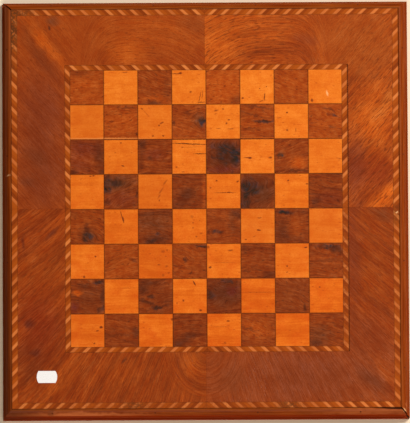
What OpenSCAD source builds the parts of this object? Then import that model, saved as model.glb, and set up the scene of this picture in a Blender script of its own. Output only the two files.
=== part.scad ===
// Draughts board. A chequered field of 64 veneer squares lies inside an inner rope banding, a border
// of four quarter-matched leaves and an outer rope banding. All of it is laid on a clamped softwood
// ground, which is edged by a mitred thumbnail moulding, glued and pinned on.
// The origin is the middle of the underside. The playing face is up, +Y is the top of the board.

/* [Playing field] */
// Width of a square, left to right
square_w = 38; // [30:0.5:44]
// Depth of a square, bottom to top
square_d = 39.3; // [30:0.1:44]
// How much the inner banding trims off the squares at the left, right and top
edge_trim = 0.7; // [0:0.1:3]
// How much it trims off the squares at the bottom
bottom_trim = 2.2; // [0:0.1:3]
// How far the field sits to the right of the board's middle
field_offset = 1.2; // [-3:0.1:3]

/* [Border and veneers] */
// Mean width of the border leaves at the left and right
border_side = 50.9; // [30:0.1:70]
// Width of the border leaves at the top and bottom
border_end = 56; // [30:0.1:70]
// Thickness of all veneers and bandings
veneer_t = 1; // [0.6:0.1:2]
// Glue line between neighbouring squares, leaves and banding halves
glue_line = 0.1; // [0.05:0.05:0.3]
// Open seam at the right of the inner banding, from shrinkage
open_seam = 1; // [0:0.1:3]

/* [Rope bandings] */
// Width of the inner banding
inner_band_w = 6.3; // [4:0.1:10]
// Width of the outer banding
outer_band_w = 6.9; // [4:0.1:10]
// Pitch of the slips along the top and the bottom
slip_pitch = 13.9; // [8:0.1:20]
// Pitch of the slips along the left and the right
side_slip_pitch = 14.5; // [8:0.1:20]
// Where the first light slip starts, from the middle of the side
slip_start = 3; // [0:0.1:8]
// Share of the pitch that is the light slip
light_share = 0.34; // [0.2:0.02:0.6]
// Slant of the slips against the banding's edge
slip_angle = 44; // [25:1:70]

/* [Edge moulding] */
// Whole thickness of the board
board_t = 23; // [20:0.5:30]
// Width of the thumbnail round
thumb_w = 7.2; // [5:0.1:9]
// Height of the thumbnail round
thumb_h = 9; // [6:0.1:10]
// How far the fillet along the foot stands out beyond the round
fillet_reach = 3; // [1.8:0.1:4]
// Height of the fillet
fillet_h = 6.5; // [4:0.1:7]
// Radius of the cove above the fillet
cove_r = 1.2; // [0.5:0.1:1.2]
// Rounding of the sharp edges
arris_r = 0.5; // [0.2:0.1:0.5]
// How far the worn mitres at the top left and bottom right stand open
mitre_gap = 1.4; // [0:0.1:1.5]

/* [Pins] */
// Pins in each length of moulding
pins_per_side = 4; // [2:1:8]
// Distance of the first pin from the board's corner
pin_inset = 55; // [30:0.5:70]
// Length of a pin
pin_length = 18; // [12:1:22]
// Diameter of the pin's shank
pin_d = 1.3; // [1:0.1:1.6]
// Diameter of the pin's head
pin_head_d = 2; // [1.8:0.1:2.6]
// How far the heads are punched below the surface
punch_depth = 1; // [0.5:0.1:1.5]

/* [Ground] */
// Width of the clamps across the ends of the boards
clamp_w = 44; // [30:1:60]
// Thickness of the tongues
tongue_t = 7; // [5:0.5:9]
// Length of the tongues on the board ends
tongue_l = 12; // [8:0.5:16]
// Width of the loose tongues between the boards
spline_w = 16; // [10:0.5:20]
// Thickness of the loose tongues
spline_t = 5; // [4:0.5:8]
// Room at the bottom of the grooves
groove_room = 0.5; // [0.2:0.1:1]

/* [Paper label] */
// Length of the blank label
label_l = 22.8; // [18:0.2:30]
// Width of the blank label
label_w = 13.4; // [10:0.2:18]
// How far the label's ends bow out
label_bow = 2; // [1:0.1:4]
// Distance of the label's middle from the board's left edge
label_from_left = 49.1; // [30:0.1:60]
// Distance of the label's middle from the board's bottom edge
label_from_bottom = 46.1; // [30:0.1:60]

/* [Hidden] */
squares = 8;
sides = ["top", "bottom", "left", "right"];

ground_t = board_t - veneer_t;
field_w = squares * square_w - 2 * edge_trim;
field_d = squares * square_d - edge_trim - bottom_trim;
inner_w = field_w + 2 * inner_band_w;
inner_d = field_d + 2 * inner_band_w;
leaf_w = inner_w + 2 * border_side + open_seam;
leaf_d = inner_d + 2 * border_end;
ground_w = leaf_w + 2 * outer_band_w;
ground_d = leaf_d + 2 * outer_band_w;
moulding_w = thumb_w + fillet_reach;
board_w = ground_w + 2 * moulding_w;
board_d = ground_d + 2 * moulding_w;
band_end_room = glue_line / 2;
label_t = 0.12;
pin_point = 2;
pin_head_t = 0.8;
pin_tilt = 45;
pin_u = 0.65 * thumb_w;
round_steps = 8;

light_veneer = [0.90, 0.50, 0.17];
dark_veneer = [0.42, 0.18, 0.08];
border_veneer = [0.55, 0.26, 0.11];
moulding_wood = [0.38, 0.15, 0.06];
softwood = [0.72, 0.54, 0.34];
steel = [0.45, 0.45, 0.46];
stopping = [0.16, 0.08, 0.04];
paper = [0.95, 0.94, 0.90];

// Points along an elliptical arc
function arc(cx, cy, rx, ry, from, to, steps) =
    [for (i = [0 : steps]) let (a = from + (to - from) * i / steps) [cx + rx * cos(a), cy + ry * sin(a)]];

// Half the length of a side, and half the reach across the board at its outer edge
function half_run(side, w, d) = (side == "top" || side == "bottom") ? w / 2 : d / 2;
function half_reach(side, w, d) = (side == "top" || side == "bottom") ? d / 2 : w / 2;

// Turns work drawn for the top side to where its side is
module on_side(side) {
    turn = side == "top" ? 0 : side == "left" ? 90 : side == "bottom" ? 180 : 270;
    rotate([0, 0, turn]) children();
}

// A flat piece of veneer on the ground
module veneer(points) {
    translate([0, 0, ground_t]) linear_extrude(veneer_t) polygon(points);
}

module veneer_box(x1, y1, x2, y2) {
    veneer([[x1, y1], [x2, y1], [x2, y2], [x1, y2]]);
}

// Playing field

// Seam after the given number of squares. The trims make the outer squares smaller than the others.
function seam_at(number, pitch, trim, whole) =
    max(-whole / 2, min(whole / 2, number * pitch - trim - whole / 2));
function column_edge(column) = field_offset + seam_at(column, square_w, edge_trim, field_w);
function row_edge(row) = seam_at(row, square_d, bottom_trim, field_d);

// Row 1 is at the bottom of the board, column 1 at the left. The square at the bottom left is light.
module square_in_field(column, row) {
    half_glue = glue_line / 2;
    veneer_box(
        column_edge(column - 1) + half_glue, row_edge(row - 1) + half_glue,
        column_edge(column) - half_glue, row_edge(row) - half_glue
    );
}

module light_squares(row) {
    color(light_veneer)
        for (column = [1 : squares])
            if ((column + row) % 2 == 0) square_in_field(column, row);
}

module dark_squares(row) {
    color(dark_veneer)
        for (column = [1 : squares])
            if ((column + row) % 2 == 1) square_in_field(column, row);
}

// Rope bandings

// One slanted slip. It leans towards the corner as it runs outwards.
module slip(start, length, inner_edge, width) {
    lean = width / tan(slip_angle);
    veneer([
        [start, inner_edge], [start + length, inner_edge],
        [start + length + lean, inner_edge + width], [start + lean, inner_edge + width]
    ]);
}

// The slips of one half of a side, from its middle to the mitred corner
module half_banding(light, half_length, inner_edge, width, pitch) {
    light_l = pitch * light_share;
    last = ceil(half_length / pitch);
    intersection() {
        for (i = [-2 : last])
            if (light) slip(slip_start + i * pitch, light_l, inner_edge, width);
            else slip(slip_start + i * pitch + light_l, pitch - light_l, inner_edge, width);
        veneer([
            [band_end_room, inner_edge], [half_length - width, inner_edge],
            [half_length, inner_edge + width], [band_end_room, inner_edge + width]
        ]);
    }
}

module banding(side, light, w, d, width) {
    run = half_run(side, w, d) - band_end_room;
    inner_edge = half_reach(side, w, d) - width;
    pitch = (side == "top" || side == "bottom") ? slip_pitch : side_slip_pitch;
    color(light ? light_veneer : dark_veneer)
        on_side(side) {
            half_banding(light, run, inner_edge, width, pitch);
            mirror([1, 0, 0]) half_banding(light, run, inner_edge, width, pitch);
        }
}

module inner_banding(side, light) {
    translate([field_offset, 0, 0]) banding(side, light, inner_w, inner_d, inner_band_w);
}

module outer_banding(side, light) {
    banding(side, light, ground_w, ground_d, outer_band_w);
}

// Border

// One L-shaped leaf. sx and sy give its corner of the board as 1 or -1.
module border_leaf(sx, sy) {
    seam = glue_line / 2;
    inner_x = inner_w / 2 + sx * field_offset + (sx > 0 ? open_seam : 0);
    inner_y = inner_d / 2;
    color(border_veneer)
        veneer([
            [sx * seam, sy * inner_y], [sx * inner_x, sy * inner_y], [sx * inner_x, sy * seam],
            [sx * leaf_w / 2, sy * seam], [sx * leaf_w / 2, sy * leaf_d / 2], [sx * seam, sy * leaf_d / 2]
        ]);
}

// Edge moulding

// Section of the moulding: u runs outwards from the ground's edge, the second value is the height
function moulding_section() = concat(
    [[0, 0]],
    arc(moulding_w - arris_r, arris_r, arris_r, arris_r, -90, 0, 4),
    arc(moulding_w - arris_r, fillet_h - arris_r, arris_r, arris_r, 0, 90, 4),
    arc(thumb_w + cove_r, fillet_h + cove_r, cove_r, cove_r, 270, 180, round_steps),
    arc(0, board_t - thumb_h, thumb_w, thumb_h, 0, 84, 2 * round_steps),
    [[0, board_t - arris_r]]
);

// A length of moulding before the pins, with a mitre at each end. Two of the four corners stand open.
module moulding_blank(side) {
    run = half_run(side, board_w, board_d);
    edge = half_reach(side, ground_w, ground_d);
    gap = mitre_gap / sqrt(2);
    left_cut = (side == "top" || side == "bottom") ? gap : 0;
    right_cut = (side == "left" || side == "right") ? gap : 0;
    on_side(side)
        intersection() {
            translate([-run, edge, 0])
                rotate([90, 0, 90])
                    linear_extrude(2 * run) polygon(moulding_section());
            linear_extrude(board_t)
                polygon([
                    [-run + left_cut, edge + moulding_w], [run - right_cut, edge + moulding_w],
                    [run - right_cut - moulding_w, edge], [-run + left_cut + moulding_w, edge]
                ]);
        }
}

module moulding(side) {
    color(moulding_wood)
        difference() {
            moulding_blank(side);
            pins(side);
            punch_holes(side);
        }
}

// Pins

// Height of the thumbnail's surface at u
function thumb_height(u) = board_t - thumb_h + thumb_h * sqrt(1 - pow(u / thumb_w, 2));

// Puts children at each pin of a side, with their +Z along the pin, out of the board
module at_pins(side) {
    first = half_run(side, board_w, board_d) - pin_inset;
    edge = half_reach(side, ground_w, ground_d);
    on_side(side)
        for (i = [0 : pins_per_side - 1])
            translate([-first + 2 * first * i / (pins_per_side - 1), edge + pin_u, thumb_height(pin_u)])
                rotate([-pin_tilt, 0, 0])
                    children();
}

module pin() {
    shank_l = pin_length - pin_point - pin_head_t;
    rotate([180, 0, 0])
        translate([0, 0, punch_depth]) {
            cylinder(h = pin_head_t, d = pin_head_d, $fn = 32);
            cylinder(h = pin_head_t + shank_l, d = pin_d, $fn = 32);
            translate([0, 0, pin_head_t + shank_l])
                cylinder(h = pin_point, d1 = pin_d, d2 = 0.2, $fn = 32);
        }
}

module pins(side) {
    at_pins(side) pin();
}

// The hole that the punch leaves over each pin head
module punch_holes(side) {
    at_pins(side)
        translate([0, 0, -punch_depth]) cylinder(h = 3 * punch_depth, d = pin_head_d, $fn = 32);
}

module moulding_pins() {
    color(steel)
        for (side = sides) pins(side);
}

module pin_stopping() {
    color(stopping)
        for (side = sides)
            intersection() {
                moulding_blank(side);
                punch_holes(side);
            }
}

// Ground

// Three boards side by side, tongued at both ends and grooved along their edges
module ground_board(place) {
    each_w = ground_w / 3;
    x1 = -ground_w / 2 + place * each_w;
    shoulder = ground_d / 2 - clamp_w;
    middle_z = ground_t / 2;
    color(softwood)
        difference() {
            union() {
                translate([x1, -shoulder, 0]) cube([each_w, 2 * shoulder, ground_t]);
                translate([x1, -shoulder - tongue_l, middle_z - tongue_t / 2])
                    cube([each_w, 2 * (shoulder + tongue_l), tongue_t]);
            }
            for (x = [-ground_w / 6, ground_w / 6]) spline_groove(x);
            for (side = sides) pins(side);
        }
}

module spline_groove(x) {
    reach = ground_d / 2;
    translate([x - spline_w / 2 - groove_room, -reach, ground_t / 2 - spline_t / 2])
        cube([spline_w + 2 * groove_room, 2 * reach, spline_t]);
}

module ground_spline(x) {
    shoulder = ground_d / 2 - clamp_w;
    color(softwood)
        translate([x - spline_w / 2, -shoulder, ground_t / 2 - spline_t / 2])
            cube([spline_w, 2 * shoulder, spline_t]);
}

// A board across the ends of the others, grooved for their tongues
module ground_clamp(sy) {
    shoulder = ground_d / 2 - clamp_w;
    groove_l = tongue_l + groove_room;
    color(softwood)
        difference() {
            translate([-ground_w / 2, sy > 0 ? shoulder : -ground_d / 2, 0])
                cube([ground_w, clamp_w, ground_t]);
            translate([-board_w, sy > 0 ? shoulder : -shoulder - groove_l, ground_t / 2 - tongue_t / 2])
                cube([2 * board_w, groove_l, tongue_t]);
            for (side = sides) pins(side);
        }
}

// Label

// Blank price label with bowed ends
module paper_label() {
    half_w = label_w / 2;
    bow_r = (pow(half_w, 2) + pow(label_bow, 2)) / (2 * label_bow);
    bow_turn = asin(half_w / bow_r);
    bow_x = label_l / 2 - bow_r;
    color(paper)
        translate([label_from_left - board_w / 2, label_from_bottom - board_d / 2, board_t])
            linear_extrude(label_t)
                polygon(concat(
                    arc(bow_x, 0, bow_r, bow_r, -bow_turn, bow_turn, round_steps),
                    arc(-bow_x, 0, bow_r, bow_r, 180 - bow_turn, 180 + bow_turn, round_steps)
                ));
}

ground_board(0);  // ground_board_left
ground_board(1);  // ground_board_middle
ground_board(2);  // ground_board_right
ground_spline(-ground_w / 6);  // ground_spline_left
ground_spline(ground_w / 6);  // ground_spline_right
ground_clamp(1);  // ground_clamp_top
ground_clamp(-1);  // ground_clamp_bottom
for (row = [1 : squares]) {
    light_squares(row);
    dark_squares(row);
}
for (side = sides) {
    inner_banding(side, true);
    inner_banding(side, false);
    outer_banding(side, true);
    outer_banding(side, false);
    moulding(side);
}
border_leaf(-1, 1);  // border_leaf_top_left
border_leaf(1, 1);  // border_leaf_top_right
border_leaf(-1, -1);  // border_leaf_bottom_left
border_leaf(1, -1);  // border_leaf_bottom_right
moulding_pins();
pin_stopping();
paper_label();
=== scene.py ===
import bpy
from math import cos, radians, sin, tan
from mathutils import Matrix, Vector


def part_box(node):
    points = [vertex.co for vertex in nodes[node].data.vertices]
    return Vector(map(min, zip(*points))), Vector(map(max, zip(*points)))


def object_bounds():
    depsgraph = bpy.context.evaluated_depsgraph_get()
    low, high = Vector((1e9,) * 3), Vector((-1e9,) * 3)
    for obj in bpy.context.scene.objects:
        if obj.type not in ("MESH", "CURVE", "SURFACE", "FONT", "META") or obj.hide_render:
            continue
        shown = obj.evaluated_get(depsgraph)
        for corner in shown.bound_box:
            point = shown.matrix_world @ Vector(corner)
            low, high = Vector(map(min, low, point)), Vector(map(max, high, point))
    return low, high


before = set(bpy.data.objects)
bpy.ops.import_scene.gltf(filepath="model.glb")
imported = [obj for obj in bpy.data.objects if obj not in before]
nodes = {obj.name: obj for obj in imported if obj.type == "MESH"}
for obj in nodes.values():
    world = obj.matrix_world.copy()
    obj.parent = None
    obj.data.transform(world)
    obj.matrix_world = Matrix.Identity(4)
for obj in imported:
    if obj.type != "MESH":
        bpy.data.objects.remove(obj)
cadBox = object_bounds()
sides = ["top", "bottom", "left", "right"]
rows = range(1, 9)
mm = 0.001  # one millimetre in Blender's metres
print("frame loaded,", len(nodes), "nodes")

# The camera looks down on the board through a long lens, leaning towards its bottom edge
cameraView = {
    "distance": 14,  # metres from the playing face
    "lean": 9,  # degrees towards the bottom edge
    "turn": -0.3,  # degrees, as the board lies a little askew in the photograph
    "aim": (-0.5, -3.9),  # the point of the face in the middle of the picture, mm
    "pictureHeight": 470.8,  # mm of board from the picture's bottom to its top
    "sensor": 36,
}


def addCamera(view):
    aim = Vector((view["aim"][0] * mm, view["aim"][1] * mm, cadBox[1].z))
    lean, turn = radians(view["lean"]), radians(view["turn"])
    data = bpy.data.cameras.new("boardCamera")
    data.sensor_width = view["sensor"]
    data.lens = view["sensor"] * view["distance"] / (view["pictureHeight"] * mm)
    camera = bpy.data.objects.new("boardCamera", data)
    bpy.context.scene.collection.objects.link(camera)
    away = Vector((sin(turn) * sin(lean), -cos(turn) * sin(lean), cos(lean)))
    camera.location = aim + away * view["distance"]
    camera.rotation_euler = (lean, 0, turn)
    bpy.context.scene.camera = camera


addCamera(cameraView)
print("camera placed")


# Small helpers for building materials from nodes

def paint(red, green, blue):  # a screen colour, 0 to 255, as Blender's linear colour
    shares = [part / 255 for part in (red, green, blue)]
    return (*[part / 12.92 if part <= 0.04045 else ((part + 0.055) / 1.055) ** 2.4 for part in shares], 1)


def addNode(tree, kind, inputs=None, **settings):
    node = tree.nodes.new(kind)
    for name, setting in settings.items():
        setattr(node, name, setting)
    for socket, source in (inputs or {}).items():
        if isinstance(source, bpy.types.NodeSocket):
            tree.links.new(source, node.inputs[socket])
        else:
            node.inputs[socket].default_value = source
    return node


def maths(tree, operation, first, second=0, third=0):
    return addNode(tree, "ShaderNodeMath", {0: first, 1: second, 2: third}, operation=operation).outputs[0]


def plus(tree, first, second):
    return maths(tree, "ADD", first, second)


def minus(tree, first, second):
    return maths(tree, "SUBTRACT", first, second)


def times(tree, first, second):
    return maths(tree, "MULTIPLY", first, second)


def timesPlus(tree, first, second, third):
    return maths(tree, "MULTIPLY_ADD", first, second, third)


def swing(tree, source, amount, middle):  # moves middle up or down as the source is over or under a half
    return timesPlus(tree, minus(tree, source, 0.5), amount, middle)


def distance(tree, first, second):
    return maths(tree, "SQRT", timesPlus(tree, first, first, times(tree, second, second)))


def vector(tree, x, y, z=0):
    return addNode(tree, "ShaderNodeCombineXYZ", {0: x, 1: y, 2: z}).outputs[0]


def split(tree, source):  # a vector's three numbers
    return addNode(tree, "ShaderNodeSeparateXYZ", {0: source}).outputs


def vectorMaths(tree, operation, inputs):
    return addNode(tree, "ShaderNodeVectorMath", inputs, operation=operation).outputs[0]


def mix(tree, share, first, second, how="MIX"):
    inputs = {0: share, 6: first, 7: second}
    return addNode(tree, "ShaderNodeMix", inputs, data_type="RGBA", blend_type=how).outputs[2]


def shade(tree, colour, amount):  # darkens or lightens a colour by a number
    return mix(tree, 1, colour, amount, "MULTIPLY")


def tint(tree, colour, amount):  # as shade, but most in the blue and least in the red, as grain does
    green, blue = maths(tree, "POWER", amount, 2.4), maths(tree, "POWER", amount, 6)
    return mix(tree, 1, colour, vector(tree, amount, green, blue), "MULTIPLY")


def ease(tree, source, low, high, first=0, last=1):  # a smooth step from first to last
    inputs = {0: source, 1: low, 2: high, 3: first, 4: last}
    return addNode(tree, "ShaderNodeMapRange", inputs, interpolation_type="SMOOTHSTEP").outputs[0]


def lay(tree, colour, over, share, strength=1):  # lays another screen colour over the first
    return mix(tree, times(tree, share, strength), colour, paint(*over))


def vary(tree, colour, source, limits, reach=0.2, how=tint):
    # between its darkest and its lightest, by a source that keeps within that reach of a half
    return how(tree, colour, ease(tree, source, 0.5 - reach, 0.5 + reach, *limits))


def noise(tree, place, scale=1, detail=2, roughness=0.5, output=0):  # output 1 is three numbers
    inputs = {"Vector": place, "Scale": scale, "Detail": detail, "Roughness": roughness}
    return addNode(tree, "ShaderNodeTexNoise", inputs).outputs[output]


def fibre(tree, along, across, seed, length, spacing, detail=2, roughness=0.5):
    # noise drawn out along the grain: streaks of this length and spacing, in mm
    place = vector(tree, times(tree, along, 1 / length), times(tree, across, 1 / spacing), seed)
    return noise(tree, place, 1, detail, roughness)


def streaks(tree, across, up, ring, seed, length, spacing, detail, roughness):
    # as fibre, for grain that bends: ring is the same all along a line of the grain
    aside, ahead = times(tree, across, 1 / length), timesPlus(tree, up, 1 / length, seed)
    place = vector(tree, aside, times(tree, ring, 1 / spacing), ahead)
    return noise(tree, place, 1, detail, roughness)


def ramp(tree, source, stops):
    node = addNode(tree, "ShaderNodeValToRGB", {0: source})
    points = node.color_ramp.elements
    while len(points) < len(stops):
        points.new(0.5)
    for point, (position, colour) in zip(points, stops):
        point.position = position
        point.color = paint(*colour)
    return node.outputs[0]


def boardPlace(tree):  # the point of the board in mm, flat, and its three numbers
    point = addNode(tree, "ShaderNodeTexCoord").outputs["Object"]
    x, y, z = split(tree, vectorMaths(tree, "SCALE", {0: point, "Scale": 1 / mm}))
    return vector(tree, x, y), x, y, z


def ragged(tree, place, reach, size, solid=None):
    # a place that wanders by about reach mm, so that a mark has an uneven outline. Its noise is read
    # from solid on a piece that has sides, because flat noise would draw streaks down them.
    wander = noise(tree, solid or place, 1 / size, 3, output=1)
    centred = vectorMaths(tree, "SUBTRACT", {0: wander, 1: (0.5, 0.5, 0.5)})
    reached = vectorMaths(tree, "SCALE", {0: centred, "Scale": reach * 4})  # noise keeps near its middle
    flat = vectorMaths(tree, "MULTIPLY", {0: reached, 1: (1, 1, 0)})
    return vectorMaths(tree, "ADD", {0: place, 1: flat})


def blot(tree, place, centre, size, turn, soft):  # 1 inside an oval, falling to 0 round it
    oval = {"Vector": place, "Location": (*centre, 0), "Rotation": (0, 0, radians(turn)),
            "Scale": (size[0] / 2, size[1] / 2, 1)}
    inside = addNode(tree, "ShaderNodeMapping", oval, vector_type="TEXTURE").outputs[0]
    away = addNode(tree, "ShaderNodeVectorMath", {0: inside}, operation="LENGTH").outputs["Value"]
    return ease(tree, away, 1 + soft, 1 - soft)


# The colours of the marks that the pieces carry. Shine and glint are painted highlights, and the rubbed
# marks on the moulding carry a painted sheen
markColours = {
    "knot": (40, 34, 33), "smoke": (88, 40, 19), "plum": (104, 38, 28), "glow": (194, 88, 18),
    "halo": (96, 54, 30), "spot": (82, 32, 20), "grime": (92, 50, 20), "red": (126, 42, 11),
    "violet": (108, 46, 28), "straw": (190, 108, 40), "flame": (212, 102, 24), "olive": (158, 76, 22),
    "grey": (132, 68, 40), "peck": (120, 48, 12), "scratch": (120, 50, 14), "shine": (255, 206, 150),
    "dim": (186, 80, 14), "crack": (74, 28, 8), "rub": (188, 104, 58), "glint": (222, 134, 66),
}


def addMarks(tree, colour, place, marks, look, thinned=None, solid=None):
    # A mark is its kind, its centre in board mm, its size in mm, its turn in degrees and its strength.
    # The look's ragged is how far outlines wander and over what length, in mm, and its soft is 0 for a
    # hard outline and 1 for a cloud. What thinned holds breaks up the marks of that kind.
    uneven = ragged(tree, place, *look["ragged"], solid)
    for kind, centre, size, turn, strength in marks:
        spread = blot(tree, uneven, centre, size, turn, look.get(kind + "Soft", look["soft"]))
        if thinned and kind in thinned:
            spread = times(tree, spread, thinned[kind])
        colour = lay(tree, colour, markColours[kind], spread, strength)
    return colour


# What all veneers share on the shader: a soft old french polish
veneerPolish = {"Roughness": 0.36, "Specular IOR Level": 0.2, "Coat Weight": 0.2, "Coat Roughness": 0.2}


def newMaterial(name, surface):  # surface: the shader's own sockets and what they are set to
    material = bpy.data.materials.new(name)
    material.use_nodes = True
    for socket, setting in surface.items():
        material.node_tree.nodes["Principled BSDF"].inputs[socket].default_value = setting
    return material, material.node_tree


def addSurface(material, colour, relief=None, depth=0):  # the colour, and a relief of that depth in mm
    tree = material.node_tree
    sockets = tree.nodes["Principled BSDF"].inputs
    tree.links.new(colour, sockets["Base Color"])
    if relief:
        bump = addNode(tree, "ShaderNodeBump", {"Height": relief, "Distance": depth * mm, "Strength": 1})
        tree.links.new(bump.outputs[0], sockets["Normal"])
    return material


def dress(name, material):
    slots = nodes[name].data.materials
    slots.clear()
    slots.append(material)


# The size of an untrimmed square in mm and the corner that the chequer is counted from, from the frame
firstSeam = Vector((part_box("light_squares_row_2")[0].x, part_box("dark_squares_row_2")[0].y)) / mm
lastSeam = Vector((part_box("light_squares_row_1")[1].x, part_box("dark_squares_row_7")[1].y)) / mm
squareWidth, squareDepth = (lastSeam - firstSeam) / 6  # six squares lie between the two
fieldLeft, fieldBottom = firstSeam.x - squareWidth, firstSeam.y - squareDepth
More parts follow.
